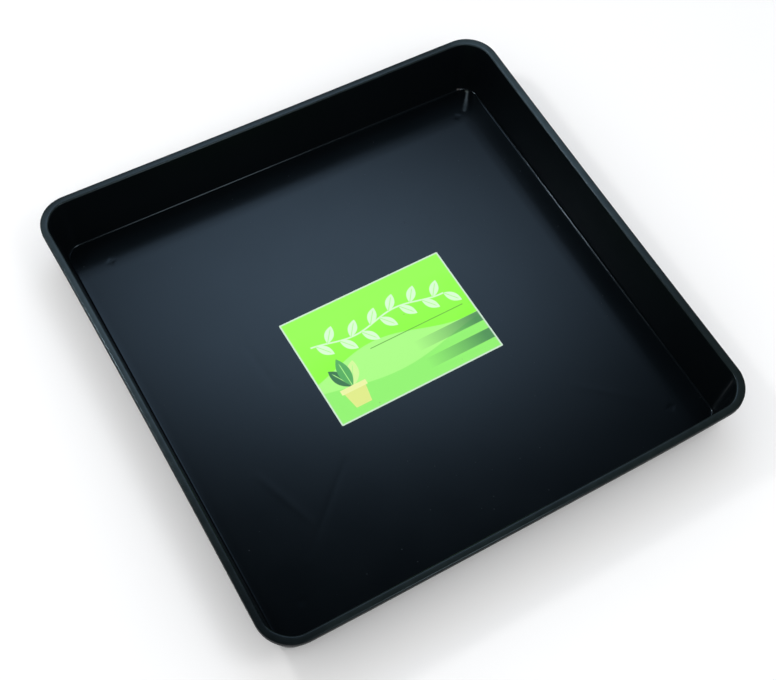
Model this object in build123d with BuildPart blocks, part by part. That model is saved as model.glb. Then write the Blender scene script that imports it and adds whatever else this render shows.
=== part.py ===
from build123d import *

import os
from math import atan2, cos, degrees, tan

# A square, shallow garden tray moulded from one sheet of black plastic, with a printed label
# glued to the middle of its floor. Lengths are in millimetres. The origin is the middle of
# the underside, +Z is up, and the label's top edge faces +Y.

# The tray, seen from above: a square rim with round corners and a drafted wall inside it
rim_side = 600.0
rim_corner_radius = 40.0
rim_width = 9.0
floor_inset = 21.4

# The tray, seen from the side
tray_height = 70.0
sheet_thickness = 2.0
lip_drop = 6.4

# The roundings of the moulding
foot_radius = 3.0
mouth_radius = 2.0
rim_edge_radius = 1.8
lip_edge_radius = 0.5

# The four round marks in the floor, one near each corner
mark_inset = 61.0
mark_diameter = 9.0
mark_depth = 0.4

# The printed label and the glue under it
label_width = 215.5
label_height = 149.0
label_corner_radius = 1.5
label_thickness = 0.2
glue_thickness = 0.1
glue_margin = 0.5
label_shift_x = 2.1
label_shift_y = -4.7
label_turn_degrees = 0.95

# The wall leans out from its foot on the floor to the rim's inner edge
draft = atan2(floor_inset - rim_width, tray_height - sheet_thickness)
wall_width = sheet_thickness / cos(draft)
base_inset = floor_inset + sheet_thickness * tan(draft) - wall_width


def rounded_square(inset):
    """The rim's outline, moved inwards all round."""
    side = rim_side - 2 * inset
    RectangleRounded(side, side, rim_corner_radius - inset)


# The tray is one moulding: floor, walls, flat rim and the lip that turns down round it
with BuildPart() as tray:
    # The rim's plate with the lip under its edge
    with BuildSketch(Plane.XY.offset(tray_height - lip_drop)):
        rounded_square(0)
    extrude(amount=lip_drop)
    with BuildSketch(Plane.XY.offset(tray_height - lip_drop)):
        rounded_square(sheet_thickness)
    extrude(amount=lip_drop - sheet_thickness, mode=Mode.SUBTRACT)

    # The wall's outer face, and the hollow that leaves its thickness
    with BuildSketch(Plane.XY):
        rounded_square(base_inset)
    extrude(amount=tray_height, taper=-degrees(draft))
    with BuildSketch(Plane.XY.offset(sheet_thickness)):
        rounded_square(floor_inset)
    extrude(amount=tray_height - sheet_thickness, taper=-degrees(draft), mode=Mode.SUBTRACT)

    # The bends of the sheet at the wall's foot, inside and outside
    level_faces = tray.faces().filter_by(Plane.XY).sort_by(Axis.Z)
    fillet(level_faces[0].edges(), radius=foot_radius + sheet_thickness)
    level_faces = tray.faces().filter_by(Plane.XY).sort_by(Axis.Z)
    fillet(level_faces[1].edges(), radius=foot_radius)

    # The rim's edges: round at the mouth and over the lip, and eased where the lip was cut
    rim_top = tray.faces().filter_by(Plane.XY).sort_by(Axis.Z)[-1]
    fillet(rim_top.inner_wires()[0].edges(), radius=mouth_radius)
    rim_top = tray.faces().filter_by(Plane.XY).sort_by(Axis.Z)[-1]
    fillet(rim_top.outer_wire().edges(), radius=rim_edge_radius)
    lip_end = tray.faces().filter_by(Plane.XY).filter_by_position(
        Axis.Z, tray_height - lip_drop - lip_edge_radius, tray_height - lip_drop + lip_edge_radius
    )
    fillet(lip_end.edges(), radius=lip_edge_radius)

    # The round marks are shallow dimples
    mark_spacing = rim_side - 2 * mark_inset
    with BuildSketch(Plane.XY.offset(sheet_thickness)):
        with GridLocations(mark_spacing, mark_spacing, 2, 2):
            Circle(mark_diameter / 2)
    extrude(amount=-mark_depth, mode=Mode.SUBTRACT)

# The glue is a thin even film between the floor and the label, a little smaller than the label
glue_plane = Plane(origin=(label_shift_x, label_shift_y, sheet_thickness)).rotated((0, 0, label_turn_degrees))
with BuildPart() as label_adhesive:
    with BuildSketch(glue_plane):
        Rectangle(label_width - 2 * glue_margin, label_height - 2 * glue_margin)
    extrude(amount=glue_thickness)

# The label is a flat printed sheet with just rounded corners
with BuildPart() as label_sheet:
    with BuildSketch(glue_plane.offset(glue_thickness)):
        RectangleRounded(label_width, label_height, label_corner_radius)
    extrude(amount=label_thickness)

tray.part.label = "tray"
label_adhesive.part.label = "label_adhesive"
label_sheet.part.label = "label_sheet"

os.makedirs("parts", exist_ok=True)
export_step(tray.part, "parts/tray.step")
export_step(label_adhesive.part, "parts/label_adhesive.step")
export_step(label_sheet.part, "parts/label_sheet.step")
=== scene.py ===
from math import atan2, cos, pi, radians, sin, tan

import bpy
import numpy as np
from mathutils import Matrix, Vector


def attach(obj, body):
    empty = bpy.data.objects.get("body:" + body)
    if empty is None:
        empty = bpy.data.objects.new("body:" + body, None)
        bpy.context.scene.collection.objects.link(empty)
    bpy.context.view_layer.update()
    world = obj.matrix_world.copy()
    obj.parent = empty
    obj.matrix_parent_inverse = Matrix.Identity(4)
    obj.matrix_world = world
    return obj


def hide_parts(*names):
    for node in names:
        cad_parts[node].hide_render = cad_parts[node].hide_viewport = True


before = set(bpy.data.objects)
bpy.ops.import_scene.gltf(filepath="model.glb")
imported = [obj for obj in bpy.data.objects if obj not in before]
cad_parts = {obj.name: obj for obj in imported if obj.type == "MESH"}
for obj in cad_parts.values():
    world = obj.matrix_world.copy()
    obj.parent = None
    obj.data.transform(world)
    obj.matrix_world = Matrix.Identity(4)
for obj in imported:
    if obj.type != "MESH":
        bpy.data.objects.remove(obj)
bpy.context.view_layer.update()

scene = bpy.context.scene
scene.view_settings.view_transform = "Standard"

# The camera stands in front of the tray's near corner and looks down on it. The photograph is
# cropped off its lens axis, so the frame is shifted a little.
camera_data = bpy.data.cameras.new("camera")
camera_data.lens = 63.96
camera_data.shift_x = -0.0728
camera_data.shift_y = 0.0179
camera_place = (-0.45725, -0.67784, 1.3847)
camera_right = Vector((0.85589, -0.51089, 0.08029))
camera_up = Vector((0.41091, 0.76607, 0.49426))
camera_back = Vector((-0.31402, -0.39004, 0.8656))
camera_turn = Matrix((camera_right, camera_up, camera_back)).transposed()
camera = bpy.data.objects.new("camera", camera_data)
camera.matrix_world = Matrix.Translation(camera_place) @ camera_turn.to_4x4()
scene.collection.objects.link(camera)
scene.camera = camera


# The studio: a large soft light beyond the far corner, whose reflection lies on the tray's
# floor, two small ones that edge the rim and the walls' feet, and an even light from all round.
def soft_light(name, azimuth, elevation, distance, width, height, radiance, colour=(1, 1, 1)):
    """An area light that faces the tray. Azimuth is from +Y towards +X, in degrees."""
    data = bpy.data.lights.new(name, "AREA")
    data.shape = "RECTANGLE"
    data.size = width
    data.size_y = height
    data.energy = radiance * pi * width * height
    data.color = colour
    light = bpy.data.objects.new(name, data)
    turn, rise = radians(azimuth), radians(elevation)
    towards = Vector((sin(turn) * cos(rise), cos(turn) * cos(rise), sin(rise)))
    facing_tray = towards.to_track_quat("Z", "Y").to_matrix().to_4x4()
    light.matrix_world = Matrix.Translation(towards * distance) @ facing_tray
    scene.collection.objects.link(light)
    return light


far_light = soft_light(
    "far_light", azimuth=27.2, elevation=56.55, distance=3.0, width=2.8, height=1.7, radiance=2.155,
    colour=(0.70, 0.82, 1.0),
)
soft_light(
    "side_light", azimuth=-41.1, elevation=49.8, distance=1.485, width=0.17, height=0.17, radiance=41.0
)
soft_light(
    "near_light", azimuth=161.1, elevation=60.4, distance=1.33, width=0.38, height=0.38, radiance=4.8
)


def add_node(tree, kind, values=(), **settings):
    """A new node in a tree. Each value is a number, a colour or another node's output, by input."""
    made = tree.nodes.new(kind)
    for name, setting in settings.items():
        setattr(made, name, setting)
    for name, value in dict(values).items():
        socket = made.inputs[name]
        if isinstance(value, bpy.types.NodeSocket):
            tree.links.new(value, socket)
        else:
            socket.default_value = value
    return made


def calculate(tree, operation, first, second=0.0, third=0.0, clamp=False):
    """The result of one step of arithmetic in a node tree."""
    values = {0: first, 1: second, 2: third}
    return add_node(tree, "ShaderNodeMath", values, operation=operation, use_clamp=clamp).outputs[0]


def vector_step(tree, operation, first, second, output="Vector"):
    """The result of one step of vector arithmetic in a node tree."""
    return add_node(tree, "ShaderNodeVectorMath", {0: first, 1: second}, operation=operation).outputs[output]


# The far light's cloth is brightest in the middle and fades to its edges
fade_across = 3.325
fade_along = 3.462
fade_power = 1.36
far_light.data.use_nodes = True
cloth = far_light.data.node_tree
on_cloth = add_node(cloth, "ShaderNodeNewGeometry").outputs["Parametric"]
from_middle = vector_step(cloth, "ADD", on_cloth, (-0.5, -0.5, 0.0))
from_middle = vector_step(cloth, "MULTIPLY", from_middle, (fade_across, fade_along, 0.0))
fading = calculate(
    cloth, "POWER", vector_step(cloth, "DOT_PRODUCT", from_middle, from_middle, "Value"), fade_power
)
fading = calculate(cloth, "EXPONENT", calculate(cloth, "MULTIPLY", fading, -1.0))
cloth.links.new(fading, cloth.nodes["Emission"].inputs["Strength"])


def split(tree, vector):
    """The X, Y and Z of a vector."""
    return add_node(tree, "ShaderNodeSeparateXYZ", {"Vector": vector}).outputs


def ranged(tree, value, low, high, to_low=0.0, to_high=1.0):
    """A value brought from one range to another, and held at its ends."""
    return add_node(
        tree, "ShaderNodeMapRange",
        {"Value": value, "From Min": low, "From Max": high, "To Min": to_low, "To Max": to_high},
    ).outputs["Result"]


# What shines in the plastic is a dim room, dark overhead and a little brighter on the right.
# All else is lit evenly from all round, and the camera sees white.
even_light = 0.85
left_wall = 0.03
right_wall = 0.12
to_right = (0.47, -0.88, 0.0)
world = bpy.data.worlds.new("studio")
scene.world = world
world.use_nodes = True
sky = world.node_tree
sky.nodes.clear()
direction = add_node(sky, "ShaderNodeTexCoord").outputs["Generated"]
ceiling = ranged(sky, split(sky, direction)["Z"], low=0.6, high=0.95, to_low=1.0, to_high=0.0)
rightwards = vector_step(sky, "DOT_PRODUCT", direction, to_right, "Value")
walls = ranged(sky, rightwards, low=0.2, high=0.8, to_low=left_wall, to_high=right_wall)
room = calculate(sky, "MULTIPLY", ceiling, walls)
path = add_node(sky, "ShaderNodeLightPath").outputs
mirrored = calculate(sky, "MAXIMUM", path["Is Glossy Ray"], path["Is Transmission Ray"])
around = add_node(
    sky, "ShaderNodeMix", {"Factor": mirrored, "A": even_light, "B": room}, data_type="FLOAT"
).outputs["Result"]
strength = add_node(
    sky, "ShaderNodeMix", {"Factor": path["Is Camera Ray"], "A": around, "B": 1.0}, data_type="FLOAT"
).outputs["Result"]
background = add_node(sky, "ShaderNodeBackground", {"Color": (1, 1, 1, 1), "Strength": strength})
add_node(sky, "ShaderNodeOutputWorld", {"Surface": background.outputs[0]})

# The studio's floor is a plain pale sheet, matt and far wider than the view, which takes the
# tray's soft shadow.
reach = 40.0
floor_mesh = bpy.data.meshes.new("studio_floor")
floor_mesh.from_pydata(
    [(-reach, -reach, 0), (reach, -reach, 0), (reach, reach, 0), (-reach, reach, 0)], [], [(0, 1, 2, 3)]
)
studio_floor = bpy.data.objects.new("studio_floor", floor_mesh)
scene.collection.objects.link(studio_floor)
floor_paint = bpy.data.materials.new("studio_floor")
floor_paint.use_nodes = True
paint = floor_paint.node_tree.nodes["Principled BSDF"]
paint.inputs["Base Color"].default_value = (0.95, 0.95, 0.95, 1)
paint.inputs["Roughness"].default_value = 0.9
paint.inputs["Specular IOR Level"].default_value = 0.0
floor_mesh.materials.append(floor_paint)

# tray: one moulding of black plastic, which carries the label. Its section runs from the floor
# up the leaning wall, over the flat rim, down the lip and back outside, and goes round a square
# with round corners. The floor between is all but flat, with four round marks from the mould.
MM = 0.001
rim_side = 600 * MM
rim_corner_radius = 40 * MM
rim_width = 9 * MM
rim_crown = 0.12 * MM
floor_inset = 21.4 * MM
tray_height = 70 * MM
sheet_thickness = 2 * MM
lip_drop = 6.4 * MM
foot_radius = 3 * MM
mouth_radius = 2.2 * MM
rim_edge_radius = 1.6 * MM
lip_edge_radius = 0.5 * MM
under_rim_radius = 0.6 * MM
mark_inset = 61 * MM
mark_diameter = 9 * MM
mark_depth = 0.11 * MM

# The wall leans out from its foot, and its outer face meets the rim's underside further out
draft = atan2(floor_inset - rim_width, tray_height - sheet_thickness)
base_inset = floor_inset + sheet_thickness * tan(draft) - sheet_thickness / cos(draft)
plate_inset = base_inset - (tray_height - sheet_thickness) * tan(draft)

# The rim's top is a little crowned between the bends at its two edges
crown_line = [
    (rim_width * (1 - share), tray_height - rim_crown * (1 - 2 * share) ** 2, 0)
    for share in (3 / 8, 4 / 8, 5 / 8, 6 / 8)
]

# Each corner of the section: how far inside the rim's outline, how high, and its bend's radius
section_corners = [
    (rim_corner_radius, sheet_thickness, 0),
    ((rim_corner_radius + floor_inset) / 2, sheet_thickness, 0),
    (floor_inset, sheet_thickness, foot_radius),
    ((floor_inset + rim_width) / 2, (tray_height + sheet_thickness) / 2, 0),
    (rim_width, tray_height - rim_crown, mouth_radius),
    *crown_line,
    (0, tray_height - rim_crown, rim_edge_radius),
    (0, tray_height - lip_drop, lip_edge_radius),
    (sheet_thickness, tray_height - lip_drop, lip_edge_radius),
    (sheet_thickness, tray_height - sheet_thickness, under_rim_radius),
    (plate_inset, tray_height - sheet_thickness, under_rim_radius),
    ((plate_inset + base_inset) / 2, (tray_height - sheet_thickness) / 2, 0),
    (base_inset, 0, foot_radius + sheet_thickness),
    (rim_corner_radius, 0, 0),
]
path_radius = 1 * MM
section_data = bpy.data.curves.new("tray_section", "CURVE")
section_data.dimensions = "3D"
section_line = section_data.splines.new("POLY")
section_line.points.add(len(section_corners) - 1)
for point, (inset, level, bend) in zip(section_line.points, section_corners):
    point.co = (rim_corner_radius - inset - path_radius, -level, 0, 1)
    point.radius = bend
section = bpy.data.objects.new("tray_section", section_data)
scene.collection.objects.link(section)

# The tree that moulds the tray from its section, and what it is given
black_plastic = bpy.data.materials.new("black_plastic")
moulding = bpy.data.node_groups.new("moulded_tray", "GeometryNodeTree")
moulding_inputs = (
    ("Section", "Geometry", None),
    ("Core Side", "Float", rim_side - 2 * rim_corner_radius),
    ("Path Radius", "Float", path_radius),
    ("Corner Steps", "Int", 14),
    ("Bend Steps", "Int", 5),
    ("Floor Cells", "Int", 208),
    ("Floor Level", "Float", sheet_thickness),
    ("Mark Place", "Float", rim_side / 2 - mark_inset),
    ("Mark Diameter", "Float", mark_diameter),
    ("Mark Depth", "Float", mark_depth),
    ("Plastic", "Material", black_plastic),
)
input_value = {}
for name, kind, value in moulding_inputs:
    socket = moulding.interface.new_socket(name, in_out="INPUT", socket_type="NodeSocket" + kind)
    if value is not None:
        input_value[socket.identifier] = value
moulding.interface.new_socket("Tray", in_out="OUTPUT", socket_type="NodeSocketGeometry")
given = add_node(moulding, "NodeGroupInput").outputs

# The section's bends, only at the corners that have a radius
bend_radius = add_node(moulding, "GeometryNodeInputRadius").outputs["Radius"]
has_bend = calculate(moulding, "GREATER_THAN", bend_radius, 0.01 * MM)
bends = add_node(
    moulding, "GeometryNodeFilletCurve",
    {
        "Curve": given["Section"],
        "Count": calculate(moulding, "MULTIPLY", given["Bend Steps"], has_bend),
        "Radius": bend_radius,
    },
    mode="POLY",
).outputs["Curve"]

# The path is the square between the centres of the corners, a hair larger and rounded
path_side = calculate(moulding, "MULTIPLY_ADD", given["Path Radius"], 2.0, given["Core Side"])
core_square = add_node(
    moulding, "GeometryNodeCurvePrimitiveQuadrilateral", {"Width": path_side, "Height": path_side}
).outputs["Curve"]
core_path = add_node(
    moulding, "GeometryNodeFilletCurve",
    {"Curve": core_square, "Count": given["Corner Steps"], "Radius": given["Path Radius"]},
    mode="POLY",
).outputs["Curve"]
index = add_node(moulding, "GeometryNodeInputIndex").outputs[0]
arc_points = calculate(moulding, "ADD", given["Corner Steps"], 1.0)
last_of_arc = calculate(
    moulding, "COMPARE", calculate(moulding, "MODULO", index, arc_points), given["Corner Steps"], 0.5
)
cuts = calculate(moulding, "SUBTRACT", given["Floor Cells"], 1.0)
core_path = add_node(
    moulding, "GeometryNodeSubdivideCurve",
    {"Curve": core_path, "Cuts": calculate(moulding, "MULTIPLY", cuts, last_of_arc)},
).outputs["Curve"]
core_path = add_node(
    moulding, "GeometryNodeSetCurveNormal", {"Curve": core_path}, mode="Z_UP"
).outputs["Curve"]
wall_and_rim = add_node(
    moulding, "GeometryNodeCurveToMesh", {"Curve": core_path, "Profile Curve": bends}
).outputs["Mesh"]

# The floor's two faces: a fine grid above, and a plain fill below
floor_lines = calculate(moulding, "ADD", given["Floor Cells"], 1.0)
floor_top = add_node(
    moulding, "GeometryNodeMeshGrid",
    {
        "Size X": given["Core Side"], "Size Y": given["Core Side"],
        "Vertices X": floor_lines, "Vertices Y": floor_lines,
    },
).outputs["Mesh"]
floor_rise = add_node(moulding, "ShaderNodeCombineXYZ", {"Z": given["Floor Level"]}).outputs[0]
floor_top = add_node(
    moulding, "GeometryNodeTransform", {"Geometry": floor_top, "Translation": floor_rise}
).outputs["Geometry"]
under_square = add_node(
    moulding, "GeometryNodeCurvePrimitiveQuadrilateral",
    {"Width": given["Core Side"], "Height": given["Core Side"]},
).outputs["Curve"]
under_square = add_node(
    moulding, "GeometryNodeSubdivideCurve", {"Curve": under_square, "Cuts": cuts}
).outputs["Curve"]
floor_under = add_node(
    moulding, "GeometryNodeFillCurve", {"Curve": under_square}, mode="TRIANGLES"
).outputs["Mesh"]
floor_under = add_node(moulding, "GeometryNodeFlipFaces", {"Mesh": floor_under}).outputs["Mesh"]
shell = add_node(moulding, "GeometryNodeJoinGeometry")
for half in (wall_and_rim, floor_top, floor_under):
    moulding.links.new(half, shell.inputs["Geometry"])
shell = add_node(
    moulding, "GeometryNodeMergeByDistance", {"Geometry": shell.outputs["Geometry"], "Distance": 0.05 * MM}
).outputs["Geometry"]

# The grid's lines are drawn together at the marks, so that these small rounds are finely made
gather_share = 0.65
gather_width = 10 * MM
place = split(moulding, add_node(moulding, "GeometryNodeInputPosition").outputs[0])
drawn, from_mark = {}, {}
for axis in "XY":
    whole = place[axis]
    from_mark[axis] = calculate(
        moulding, "SUBTRACT", calculate(moulding, "ABSOLUTE", whole), given["Mark Place"]
    )
    spread = calculate(moulding, "DIVIDE", from_mark[axis], gather_width)
    falling = calculate(moulding, "MULTIPLY", calculate(moulding, "MULTIPLY", spread, spread), -1.0)
    near = calculate(moulding, "EXPONENT", falling)
    pull = calculate(moulding, "MULTIPLY", from_mark[axis], near)
    pull = calculate(moulding, "MULTIPLY", pull, gather_share)
    pull = calculate(moulding, "MULTIPLY", pull, calculate(moulding, "SIGN", whole))
    drawn[axis] = calculate(moulding, "SUBTRACT", whole, pull)
drawn_place = add_node(moulding, "ShaderNodeCombineXYZ", {"X": drawn["X"], "Y": drawn["Y"], "Z": place["Z"]})
shell = add_node(
    moulding, "GeometryNodeSetPosition", {"Geometry": shell, "Position": drawn_place.outputs[0]}
).outputs["Geometry"]

# Each mark is a shallow dimple with a raised lip. Its line gives the height, in mark depths, at
# each share of the mark's diameter from its middle.
mark_distance = calculate(
    moulding, "SQRT",
    calculate(
        moulding, "ADD",
        calculate(moulding, "MULTIPLY", from_mark["X"], from_mark["X"]),
        calculate(moulding, "MULTIPLY", from_mark["Y"], from_mark["Y"]),
    ),
)
mark_section = add_node(
    moulding, "ShaderNodeFloatCurve",
    {"Value": calculate(moulding, "DIVIDE", mark_distance, given["Mark Diameter"])},
)
mark_line = mark_section.mapping
mark_line.extend = "HORIZONTAL"
mark_line.clip_min_y = -1
mark_line.curves[0].points[0].location = (0, -1)
mark_line.curves[0].points[1].location = (1, 0)
for share, level in ((0.36, -1.0), (0.5, 0.2), (0.6, 0.25), (0.72, 0.03)):
    mark_line.curves[0].points.new(share, level)
mark_line.update()
mark_height = calculate(moulding, "MULTIPLY", mark_section.outputs[0], given["Mark Depth"])
above_middle = calculate(
    moulding, "GREATER_THAN", place["Z"], calculate(moulding, "MULTIPLY", given["Floor Level"], 0.5)
)
shell = add_node(
    moulding, "GeometryNodeSetPosition",
    {
        "Geometry": shell,
        "Selection": above_middle,
        "Offset": add_node(moulding, "ShaderNodeCombineXYZ", {"Z": mark_height}).outputs[0],
    },
).outputs["Geometry"]
shell = add_node(moulding, "GeometryNodeSetShadeSmooth", {"Geometry": shell}).outputs["Geometry"]
shell = add_node(moulding, "GeometryNodeRealizeInstances", {"Geometry": shell}).outputs["Geometry"]
shell = add_node(
    moulding, "GeometryNodeSetMaterial", {"Geometry": shell, "Material": given["Plastic"]}
).outputs["Geometry"]
add_node(moulding, "NodeGroupOutput", {"Tray": shell})

# The tree's result becomes a plain mesh
maker = section.modifiers.new("moulded_tray", "NODES")
maker.node_group = moulding
for identifier, value in input_value.items():
    maker[identifier] = value
tray_mesh = bpy.data.meshes.new_from_object(section.evaluated_get(bpy.context.evaluated_depsgraph_get()))
tray_mesh.name = "moulded_tray"
section.modifiers.remove(maker)
bpy.data.objects.remove(section)
points = np.empty(3 * len(tray_mesh.vertices), np.float32)
tray_mesh.vertices.foreach_get("co", points)
points = points.reshape(-1, 3)

# The sheet set a little unevenly as it cooled, which left shallow creases in the floor. Each
# row gives a crease's two ends, its width and its height, in millimetres.
creases = [
    ((-118, -115), (-212, -202), 3.2, -0.09),
    ((-216, -85), (-186, -173), 4.5, 0.06),
    ((150, -156), (214, -213), 4.0, 0.05),
    ((252, 246), (272, 266), 2.6, 0.25),
    ((-153, 70), (-146, -4), 4.0, -0.035),
]
lift = np.zeros(len(points))
for start, end, width, height in creases:
    start, run = np.array(start) * MM, (np.array(end) - np.array(start)) * MM
    along = np.clip((points[:, :2] - start) @ run / (run @ run), 0, 1)
    away = np.hypot(*(points[:, :2] - start - along[:, None] * run).T)
    lift += height * MM * np.exp(-((away / (width * MM)) ** 2)) * np.sin(pi * along) ** 0.5
on_floor = (points[:, 2] > sheet_thickness / 2) & (points[:, 2] < 2 * sheet_thickness)
points[:, 2] += np.where(on_floor, lift, 0)


def eased(share):
    """A share held between 0 and 1, with a soft start and a soft end."""
    share = np.clip(share, 0, 1)
    return share ** 2 * (3 - 2 * share)


# The floor also falls a little towards the two far walls, where the sheet drew down. Each row
# gives an axis, where the fall starts and ends along it, and its depth, in millimetres.
falls = [
    (0, 240, 274, 0.75),
    (1, 226, 270, 1.2),
]
fall = np.zeros(len(points))
for axis, start, end, depth in falls:
    fall = np.maximum(fall, depth * MM * eased((points[:, axis] - start * MM) / ((end - start) * MM)))
at_foot = (points[:, 2] > sheet_thickness / 2) & (points[:, 2] < 3 * sheet_thickness)
points[:, 2] -= np.where(at_foot, fall, 0)

# The walls pulled a little out of true too. Each row gives a side by its axis and its sign, how
# far its rim stands outwards in millimetres, as factors of the powers of the share of the way
# along the side from its middle, and the same for the wall's foot.
pulls = [
    (0, 1, (0.57, 0.32, 1.47, 0.25, 0, 0, -0.02), (1.6, 0.3)),
    (0, -1, (-0.28, 0.14, 2.25, 0.48, 0, 0, 0.15), (2.9, 0.0)),
    (1, 1, (1.00, 0.42, 1.65, -0.39, 0, 0, -1.15), (-0.2, -0.6)),
    (1, -1, (0.85, 0.42, -1.0, -1.45, 0, 0, -2.2), (0.0, 0.0)),
]
pull_start = 240 * MM
pull_end = 275 * MM
along_share = points[:, :2] / (rim_side / 2)
rise_share = np.clip((points[:, 2] - sheet_thickness) / (tray_height - sheet_thickness), 0, 1)
shift = np.zeros((len(points), 2))
for axis, side, rim_pull, foot_pull in pulls:
    share = along_share[:, 1 - axis]
    outwards = rise_share * np.polynomial.polynomial.polyval(share, rim_pull)
    outwards += (1 - rise_share) * np.polynomial.polynomial.polyval(share, foot_pull)
    reach_share = eased((side * points[:, axis] - pull_start) / (pull_end - pull_start))
    shift[:, axis] += side * MM * outwards * reach_share

# The mouth sits a little to one side inside the rim's outline, and its corners are a little
# rounder. Both start 5 mm inside the outline, and are whole from 8 mm.
mouth_start = 5 * MM
mouth_end = 8 * MM
mouth_shift = 0.9 * MM
mouth_rounding = 1.0 * MM
from_core = np.maximum(np.abs(points[:, :2]) - (rim_side / 2 - rim_corner_radius), 0)
core_distance = np.hypot(*from_core.T)
inside_rim = np.clip((rim_corner_radius - core_distance - mouth_start) / (mouth_end - mouth_start), 0, 1)
shift[:, 0] -= mouth_shift * inside_rim * rise_share
safe_distance = np.maximum(core_distance, 1e-9)
towards_corner = from_core / safe_distance[:, None] * np.sign(points[:, :2])
diagonal_share = (2 * from_core[:, 0] * from_core[:, 1] / safe_distance ** 2) ** 2
shift -= towards_corner * (mouth_rounding * diagonal_share * inside_rim * rise_share)[:, None]
points[:, :2] += shift
tray_mesh.vertices.foreach_set("co", points.ravel())

moulded_tray = bpy.data.objects.new("moulded_tray", tray_mesh)
scene.collection.objects.link(moulded_tray)
even_shading = moulded_tray.modifiers.new("even_shading", "WEIGHTED_NORMAL")
even_shading.keep_sharp = True


def new_group(name, inputs, outputs):
    """A shader node group with named inputs and outputs, and the nodes at its two ends."""
    group = bpy.data.node_groups.new(name, "ShaderNodeTree")
    for label, kind, standard in inputs:
        socket = group.interface.new_socket(label, in_out="INPUT", socket_type="NodeSocket" + kind)
        if standard is not None:
            socket.default_value = standard
    for label, kind in outputs:
        group.interface.new_socket(label, in_out="OUTPUT", socket_type="NodeSocket" + kind)
    return group, group.nodes.new("NodeGroupInput").outputs, group.nodes.new("NodeGroupOutput").inputs


def use_group(tree, group, **values):
    """Places a group in a tree. Its inputs are given by name, with _ for a space."""
    named = {name.replace("_", " "): value for name, value in values.items()}
    return add_node(tree, "ShaderNodeGroup", named, node_tree=group).outputs


def mottling(tree, vector, scale, detail):
    """Soft uneven patches, as a value from about 0.3 to 0.7."""
    return add_node(
        tree, "ShaderNodeTexNoise", {"Vector": vector, "Scale": scale, "Detail": detail}
    ).outputs["Fac"]


# Specks of dust and grit, which lie on both the plastic and the print
dust_group, given, result = new_group(
    "dust",
    [("Vector", "Vector", None), ("Cells", "Float", 160.0), ("Amount", "Float", 0.1)],
    [("Mask", "Float")],
)
specks = add_node(
    dust_group, "ShaderNodeTexVoronoi", {"Vector": given["Vector"], "Scale": given["Cells"]}
).outputs
lot = add_node(dust_group, "ShaderNodeSeparateColor", {0: specks["Color"]}).outputs[0]
chosen = calculate(dust_group, "LESS_THAN", lot, given["Amount"])
speck = ranged(dust_group, specks["Distance"], low=0.08, high=0.2, to_low=1.0, to_high=0.0)
dust_group.links.new(calculate(dust_group, "MULTIPLY", chosen, speck), result["Mask"])

# The fine grain of a moulded or pressed surface
grain_group, given, result = new_group(
    "grain", [("Vector", "Vector", None), ("Size", "Float", 0.001)], [("Height", "Float")]
)
grains = calculate(grain_group, "DIVIDE", 1.0, given["Size"])
grain_group.links.new(mottling(grain_group, given["Vector"], grains, 3.0), result["Height"])

# A painted highlight: a pale line of colour from one place to another, in place of light caught by the sheet
painted_highlight_group, given, result = new_group(
    "painted_highlight",
    [
        ("Vector", "Vector", None), ("Start", "Vector", None), ("End", "Vector", None),
        ("Width", "Float", 0.002),
    ],
    [("Mask", "Float")],
)
run = vector_step(painted_highlight_group, "SUBTRACT", given["End"], given["Start"])
offset = vector_step(painted_highlight_group, "SUBTRACT", given["Vector"], given["Start"])
along = calculate(
    painted_highlight_group, "DIVIDE",
    vector_step(painted_highlight_group, "DOT_PRODUCT", offset, run, "Value"),
    vector_step(painted_highlight_group, "DOT_PRODUCT", run, run, "Value"),
    clamp=True,
)
nearest = add_node(
    painted_highlight_group, "ShaderNodeVectorMath", {0: run, "Scale": along}, operation="SCALE"
).outputs[0]
away = calculate(
    painted_highlight_group, "DIVIDE", vector_step(painted_highlight_group, "DISTANCE", offset, nearest, "Value"), given["Width"]
)
fading = calculate(painted_highlight_group, "MULTIPLY", calculate(painted_highlight_group, "MULTIPLY", away, away), -1.0)
painted_highlight_group.links.new(calculate(painted_highlight_group, "EXPONENT", fading), result["Mask"])


def mix_colours(tree, share, first, second):
    """A blend of two colours, by the share of the second one."""
    return add_node(tree, "ShaderNodeMix", {0: share, 6: first, 7: second}, data_type="RGBA").outputs[2]


# The plastic is nearly black, with a bluish shine and a little wear from handling
black_plastic.use_nodes = True
plastic = black_plastic.node_tree
skin = plastic.nodes["Principled BSDF"]
skin.inputs["IOR"].default_value = 1.5
skin.inputs["Specular Tint"].default_value = (0.66, 0.86, 1.0, 1)
on_tray = add_node(plastic, "ShaderNodeTexCoord").outputs["Object"]
tray_spot = split(plastic, on_tray)
handling = mottling(plastic, on_tray, scale=14.0, detail=4.0)
black = mix_colours(plastic, handling, (0.0009, 0.0017, 0.0025, 1), (0.0016, 0.0026, 0.0035, 1))


def slanting(x_share, y_share):
    """How far a place lies along a slanting line across the tray."""
    y_part = calculate(plastic, "MULTIPLY", tray_spot["Y"], y_share)
    return calculate(plastic, "MULTIPLY_ADD", tray_spot["X"], x_share, y_part)


# The rim's top is rubbed, though hardly at the front corner
rubbed_black = (0.0085, 0.0133, 0.0128, 1)
on_rim = ranged(plastic, tray_spot["Z"], tray_height - rim_edge_radius, tray_height - rim_edge_radius / 2)
patches = mottling(plastic, on_tray, scale=90.0, detail=5.0)
rub = calculate(plastic, "MULTIPLY", ranged(plastic, patches, 0.3, 0.75, to_low=0.6, to_high=1.0), on_rim)
past_front_corner = ranged(plastic, slanting(2.5, 1.0), -1000 * MM, -850 * MM, to_low=0.35, to_high=1.0)
black = mix_colours(plastic, calculate(plastic, "MULTIPLY", rub, past_front_corner), black, rubbed_black)
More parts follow.
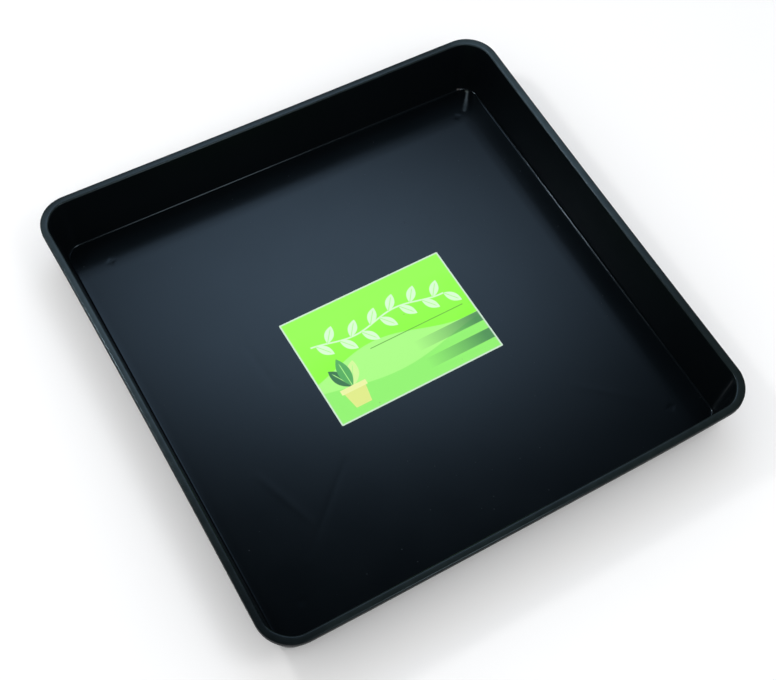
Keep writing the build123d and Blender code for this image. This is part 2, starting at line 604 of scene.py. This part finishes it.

# Painted sheen: the rim's top is paler and bluish where it catches the lights' reflection, on two sides
# towards the back and at the far corner.
# The back side has a trace of it too.
painted_sheen_grey = (0.028, 0.043, 0.049, 1)
rim_band = (284 * MM, 290 * MM)
right_side_lead = 20 * MM
on_two_sides = ranged(plastic, calculate(plastic, "ABSOLUTE", tray_spot["X"]), *rim_band)
right_or_left = calculate(plastic, "SIGN", tray_spot["X"])
how_far_back = calculate(plastic, "MULTIPLY_ADD", right_or_left, right_side_lead, tray_spot["Y"])
towards_back = ranged(plastic, how_far_back, -140 * MM, 160 * MM)
before_left_corner = ranged(plastic, slanting(-1.0, 1.0), 420 * MM, 540 * MM, to_low=1.0, to_high=0.45)
at_far_corner = ranged(plastic, slanting(1.0, 1.0), 540 * MM, 570 * MM)
on_back_side = ranged(plastic, tray_spot["Y"], *rim_band, to_high=0.15)
painted_sheen = calculate(plastic, "MULTIPLY", on_two_sides, towards_back)
painted_sheen = calculate(plastic, "MULTIPLY", painted_sheen, before_left_corner)
painted_sheen = calculate(plastic, "MAXIMUM", painted_sheen, at_far_corner)
painted_sheen = calculate(plastic, "MAXIMUM", painted_sheen, on_back_side)
black = mix_colours(plastic, calculate(plastic, "MULTIPLY", painted_sheen, rub), black, painted_sheen_grey)

# Dust, and then the painted highlights, pale lines of colour in place of light caught by the sheet. Each row
# gives a highlight's start, its end and its width, in millimetres, and its colour.
dust_grey = (0.03, 0.03, 0.03, 1)
dust = use_group(plastic, dust_group, Vector=on_tray, Cells=260.0, Amount=0.012)["Mask"]
black = mix_colours(plastic, calculate(plastic, "MULTIPLY", dust, 0.5), black, dust_grey)
painted_highlights = [
    # A painted highlight along the fold at the far corner, fading towards the mark
    ((272, 268.6, 0.9), (264, 258, 0.9), 1.4, (0.080, 0.104, 0.120, 1)),
    ((264, 258, 0.9), (259, 251.6, 0.9), 1.8, (0.055, 0.073, 0.087, 1)),
    ((259, 251.6, 0.9), (253, 244.4, 1.2), 2.4, (0.026, 0.036, 0.044, 1)),
    # Two painted glints on the wall's foot at the far corner
    ((262.5, 277.2, 2.6), (266.4, 275.7, 2.6), 1.0, (0.20, 0.19, 0.19, 1)),
    ((271.9, 270.5, 2.0), (272.7, 269.6, 2.0), 1.5, (0.20, 0.25, 0.25, 1)),
    # A painted highlight up the wall at the right corner, and a short one at its foot
    ((281.6, -264, 5), (289.5, -265, 62), 0.9, (0.032, 0.032, 0.034, 1)),
    ((281, -265, 3), (283, -268, 12), 1.0, (0.045, 0.045, 0.048, 1)),
]
for start, end, width, colour in painted_highlights:
    painted_highlight = use_group(
        plastic, painted_highlight_group, Vector=on_tray, Start=Vector(start) * MM, End=Vector(end) * MM, Width=width * MM
    )["Mask"]
    black = mix_colours(plastic, painted_highlight, black, colour)
plastic.links.new(black, skin.inputs["Base Color"])

# The lip's outer face was trimmed, which left it dull, and the walls' inner faces are a little
# scraped by pots and trowels. facing is above 0 where a face points away from the tray's
# middle, and below 0 where it points to it.
outwards_way = vector_step(plastic, "MULTIPLY", on_tray, (1, 1, 0))
face_normal = add_node(plastic, "ShaderNodeNewGeometry").outputs["Normal"]
facing = vector_step(plastic, "DOT_PRODUCT", outwards_way, face_normal, "Value")
lip_end = tray_height - lip_drop
above_lip_end = ranged(plastic, tray_spot["Z"], lip_end - 0.6 * MM, lip_end - 0.1 * MM)
trimmed = calculate(plastic, "MULTIPLY", ranged(plastic, facing, 0.1, 0.25), above_lip_end)
scraped = ranged(plastic, facing, -0.26, -0.2, to_low=1.0, to_high=0.0)

# Each kind of wear adds its roughness, and the scraped and trimmed faces lose some shine
gloss = ranged(plastic, handling, 0.3, 0.7, to_low=0.165, to_high=0.185)
for mask, dulling in ((rub, 0.08), (trimmed, 0.3), (scraped, 0.25), (dust, 0.3)):
    gloss = calculate(plastic, "MULTIPLY_ADD", mask, dulling, gloss)
plastic.links.new(gloss, skin.inputs["Roughness"])
shine = 0.5
for mask, lost in ((scraped, 0.28), (trimmed, 0.38)):
    shine = calculate(plastic, "MULTIPLY_ADD", mask, -lost, shine)
plastic.links.new(shine, skin.inputs["Specular IOR Level"])


def relief(tree, height, distance, strength=1.0):
    """The tilt of a surface that stands this far up and down."""
    return add_node(
        tree, "ShaderNodeBump", {"Strength": strength, "Distance": distance, "Height": height}
    ).outputs["Normal"]


plastic_grain = use_group(plastic, grain_group, Vector=on_tray, Size=1.1 * MM)["Height"]
plastic.links.new(relief(plastic, plastic_grain, 0.006 * MM), skin.inputs["Normal"])
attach(moulded_tray, "root")
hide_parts("tray")

# label_adhesive: an even film of clear-drying acrylic glue that holds the label to the tray's
# floor. It was rolled on, stops just short of the label's edges and has no joint of its own.
roller_streaks = (40, 400, 400)
glue_film = bpy.data.materials.new("dried_glue")
glue_film.use_nodes = True
glue = glue_film.node_tree
film = glue.nodes["Principled BSDF"]
on_film = add_node(glue, "ShaderNodeTexCoord").outputs["Object"]
streaked = add_node(glue, "ShaderNodeMapping", {"Vector": on_film, "Scale": roller_streaks}).outputs[0]
rolled = mottling(glue, streaked, scale=1.0, detail=2.0)
glue_colour = mix_colours(glue, rolled, (0.74, 0.75, 0.69, 1), (0.86, 0.86, 0.82, 1))
glue.links.new(glue_colour, film.inputs["Base Color"])
glue.links.new(ranged(glue, rolled, 0.3, 0.7, to_low=0.3, to_high=0.5), film.inputs["Roughness"])
glue.links.new(relief(glue, rolled, 0.03 * MM, strength=0.5), film.inputs["Normal"])
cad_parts["label_adhesive"].data.materials.clear()
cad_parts["label_adhesive"].data.materials.append(glue_film)

# label_sheet: a sheet of white paper, printed in greens inside a narrow white border and
# varnished. It lies flat in the middle of the floor, a little turned, stuck down by its glue.
label_width = 215.5
label_height = 149.0
label_place = (2.1 * MM, -4.7 * MM, 0)
label_turn = (0, 0, radians(0.95))
printed_paper = bpy.data.materials.new("printed_paper")
printed_paper.use_nodes = True
ink = printed_paper.node_tree
varnish = ink.nodes["Principled BSDF"]
on_paper = add_node(ink, "ShaderNodeTexCoord").outputs["Object"]

# The print is laid out in millimetres on the label, right and up from its middle
on_label = add_node(
    ink, "ShaderNodeMapping",
    {"Vector": on_paper, "Location": label_place, "Rotation": label_turn, "Scale": (MM, MM, MM)},
    vector_type="TEXTURE",
).outputs[0]
label_spot = split(ink, on_label)


def edge_mask(tree, distance, fade):
    """1 inside an edge and 0 outside it, from the distance inwards and how softly it ends."""
    return calculate(tree, "ADD", calculate(tree, "DIVIDE", distance, fade), 0.5, clamp=True)


# An upright box, whose left edge may fade more softly than the others
box_group, given, result = new_group(
    "box",
    [
        ("Vector", "Vector", None), ("Left", "Float", 0.0), ("Right", "Float", 0.0),
        ("Bottom", "Float", 0.0), ("Top", "Float", 0.0), ("Left Fade", "Float", 0.4), ("Fade", "Float", 0.4),
    ],
    [("Mask", "Float")],
)
box_spot = split(box_group, given["Vector"])
inside = 1.0
for higher, lower, fade in (
    (box_spot["X"], given["Left"], given["Left Fade"]),
    (given["Right"], box_spot["X"], given["Fade"]),
    (box_spot["Y"], given["Bottom"], given["Fade"]),
    (given["Top"], box_spot["Y"], given["Fade"]),
):
    side_mask = edge_mask(box_group, calculate(box_group, "SUBTRACT", higher, lower), fade)
    inside = calculate(box_group, "MULTIPLY", inside, side_mask)
box_group.links.new(inside, result["Mask"])

# A leaf from its foot to its tip, with a vein along most of it
leaf_group, given, result = new_group(
    "leaf",
    [
        ("Vector", "Vector", None), ("Foot", "Vector", None), ("Angle", "Float", 0.0),
        ("Length", "Float", 20.0), ("Width", "Float", 9.0),
    ],
    [("Mask", "Float"), ("Vein", "Float")],
)
vein_half = 0.45
vein_share = 0.8
leaf_fade = 0.4
turned = add_node(
    leaf_group, "ShaderNodeVectorRotate",
    {
        "Vector": vector_step(leaf_group, "SUBTRACT", given["Vector"], given["Foot"]),
        "Angle": calculate(leaf_group, "MULTIPLY", given["Angle"], -1.0),
    },
    rotation_type="Z_AXIS",
).outputs[0]
leaf_spot = split(leaf_group, turned)
along = calculate(leaf_group, "DIVIDE", leaf_spot["X"], given["Length"])
aside = calculate(leaf_group, "ABSOLUTE", leaf_spot["Y"])
bulge = calculate(leaf_group, "MULTIPLY", along, calculate(leaf_group, "SUBTRACT", 1.0, along))
belly = calculate(leaf_group, "MULTIPLY", bulge, calculate(leaf_group, "MULTIPLY", given["Width"], 2.0))
leaf_mask = edge_mask(leaf_group, calculate(leaf_group, "SUBTRACT", belly, aside), leaf_fade)
leaf_group.links.new(leaf_mask, result["Mask"])
vein = edge_mask(leaf_group, calculate(leaf_group, "SUBTRACT", vein_half, aside), leaf_fade)
vein = calculate(leaf_group, "MULTIPLY", vein, leaf_mask)
before_tip = edge_mask(leaf_group, calculate(leaf_group, "SUBTRACT", vein_share, along), 0.1)
leaf_group.links.new(calculate(leaf_group, "MULTIPLY", vein, before_tip), result["Vein"])


def box_mask(left, right, bottom, top, left_fade=0.4, fade=0.4):
    """1 inside an upright box on the label and 0 outside it."""
    return use_group(
        ink, box_group, Vector=on_label, Left=left, Right=right, Bottom=bottom, Top=top,
        Left_Fade=left_fade, Fade=fade,
    )["Mask"]


def with_leaf(under, foot, angle, length, width, leaf_colour, vein_colour):
    """The print so far, with one more leaf over it."""
    leaf = use_group(ink, leaf_group, Vector=on_label, Foot=foot, Angle=angle, Length=length, Width=width)
    under = mix_colours(ink, leaf["Mask"], under, leaf_colour)
    return mix_colours(ink, leaf["Vein"], under, vein_colour)


def wave(height, size, length, start):
    """A slow wave across the label, as a height above its middle."""
    swing = calculate(ink, "SINE", calculate(ink, "MULTIPLY_ADD", label_spot["X"], 2 * pi / length, start))
    return calculate(ink, "MULTIPLY_ADD", swing, size, height)


# The ground is lime green, a little paler towards the top
low_lime = (0.228, 0.96, 0.012, 1)
high_lime = (0.29, 0.98, 0.065, 1)
clouds = mottling(ink, on_label, scale=0.02, detail=2.0)
cloudy_height = calculate(ink, "MULTIPLY_ADD", clouds, 60.0, label_spot["Y"])
print_colour = mix_colours(ink, ranged(ink, cloudy_height, -20.0, 80.0), low_lime, high_lime)

# Two rolling hills in paler greens, the far one first
hill_fade = 1.0
hill_cover = 0.8
for top, hill_green in (
    (wave(height=-8.0, size=12.0, length=230.0, start=2.2), (0.42, 0.93, 0.25, 1)),
    (wave(height=-34.0, size=10.0, length=280.0, start=5.0), (0.24, 0.85, 0.12, 1)),
):
    hill = edge_mask(ink, calculate(ink, "SUBTRACT", top, label_spot["Y"]), hill_fade)
    print_colour = mix_colours(ink, calculate(ink, "MULTIPLY", hill, hill_cover), print_colour, hill_green)

# A leafy twig in near white along the upper half
pale_green = (0.66, 0.95, 0.60, 1)
pale_vein = (0.36, 0.92, 0.18, 1)
twig_height = 26.0
twig_swing = 5.0
twig_length = 120.0
twig_start = 0.4
twig_half = 1.0
twig_fade = 0.5
leaf_count = 13
leaf_spacing = 14.0
leaf_slant = radians(52)
leaf_length = 24.0
leaf_width = 11.0
twig_line = wave(twig_height, twig_swing, twig_length, twig_start)
from_twig = calculate(ink, "ABSOLUTE", calculate(ink, "SUBTRACT", label_spot["Y"], twig_line))
twig = edge_mask(ink, calculate(ink, "SUBTRACT", twig_half, from_twig), twig_fade)
twig = calculate(ink, "MULTIPLY", twig, box_mask(left=-90.0, right=84.0, bottom=0.0, top=60.0))
print_colour = mix_colours(ink, twig, print_colour, pale_green)
for number in range(leaf_count):
    across = leaf_spacing * (number - leaf_count // 2)
    foot_height = twig_height + twig_swing * sin(2 * pi * across / twig_length + twig_start)
    angle = leaf_slant if number % 2 else -leaf_slant
    print_colour = with_leaf(
        print_colour, (across, foot_height, 0), angle, leaf_length, leaf_width, pale_green, pale_vein
    )

# A dark rule, and two dark bands that fade in from the left
dark_green = (0.035, 0.19, 0.07, 1)
rule_green = (0.10, 0.42, 0.03, 1)
band_height = 14.0
band_cover = 0.85
rule = box_mask(left=-30.0, right=96.0, bottom=-3.6, top=-2.6)
print_colour = mix_colours(ink, rule, print_colour, rule_green)
for bottom in (-34.0, -60.0):
    band = box_mask(left=58.0, right=120.0, bottom=bottom, top=bottom + band_height, left_fade=80.0)
    print_colour = mix_colours(ink, calculate(ink, "MULTIPLY", band, band_cover), print_colour, dark_green)

# A plain plant pot with three leaves, on the near hill
cream = (0.72, 0.80, 0.22, 1)
pale_cream = (0.80, 0.86, 0.34, 1)
pot_vein = (0.40, 0.93, 0.24, 1)
pot_leaves = [
    (118, 34.0, dark_green),
    (62, 34.0, (0.62, 0.90, 0.30, 1)),
    (90, 40.0, (0.08, 0.42, 0.10, 1)),
]
pot_leaf_width = 15.0
pot_middle = -72.0
pot_bottom = -62.0
pot_top = -38.0
pot_fade = 0.4
pot_rim_half = 16.5
pot_leaf_foot = (pot_middle, -36.0, 0)
for angle, length, leaf_colour in pot_leaves:
    print_colour = with_leaf(
        print_colour, pot_leaf_foot, radians(angle), length, pot_leaf_width, leaf_colour, pot_vein
    )
pot_half = ranged(ink, label_spot["Y"], pot_bottom, -40.0, to_low=10.0, to_high=14.0)
from_pot = calculate(ink, "ABSOLUTE", calculate(ink, "SUBTRACT", label_spot["X"], pot_middle))
pot = edge_mask(ink, calculate(ink, "SUBTRACT", pot_half, from_pot), pot_fade)
pot_levels = box_mask(left=pot_middle - 23.0, right=pot_middle + 22.0, bottom=pot_bottom, top=pot_top)
print_colour = mix_colours(ink, calculate(ink, "MULTIPLY", pot, pot_levels), print_colour, cream)
pot_rim = box_mask(pot_middle - pot_rim_half, pot_middle + pot_rim_half, bottom=-41.0, top=-34.5)
print_colour = mix_colours(ink, pot_rim, print_colour, pale_cream)

# The white border, and the specks on top
border = 1.9
border_fade = 1.2
border_white = (0.60, 0.78, 0.60, 1)
speck_brown = (0.16, 0.15, 0.12, 1)
print_right = label_width / 2 - border
print_top = label_height / 2 - border
printed = box_mask(-print_right, print_right, -print_top, print_top, left_fade=border_fade, fade=border_fade)
print_colour = mix_colours(ink, printed, border_white, print_colour)
print_dust = use_group(ink, dust_group, Vector=on_paper, Cells=170.0, Amount=0.02)["Mask"]
print_colour = mix_colours(ink, calculate(ink, "MULTIPLY", print_dust, 0.3), print_colour, speck_brown)
ink.links.new(print_colour, varnish.inputs["Base Color"])

# The paper's fibres show in the varnish, and the sheet is a little cockled
fibres = use_group(ink, grain_group, Vector=on_paper, Size=0.6 * MM)["Height"]
cockle = mottling(ink, on_paper, scale=22.0, detail=1.0)
cockle_to_fibre = 12.0
ink.links.new(ranged(ink, fibres, 0.3, 0.7, to_low=0.34, to_high=0.46), varnish.inputs["Roughness"])
paper_height = calculate(ink, "MULTIPLY_ADD", cockle, cockle_to_fibre, fibres)
ink.links.new(relief(ink, paper_height, 0.01 * MM), varnish.inputs["Normal"])
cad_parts["label_sheet"].data.materials.clear()
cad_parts["label_sheet"].data.materials.append(printed_paper)
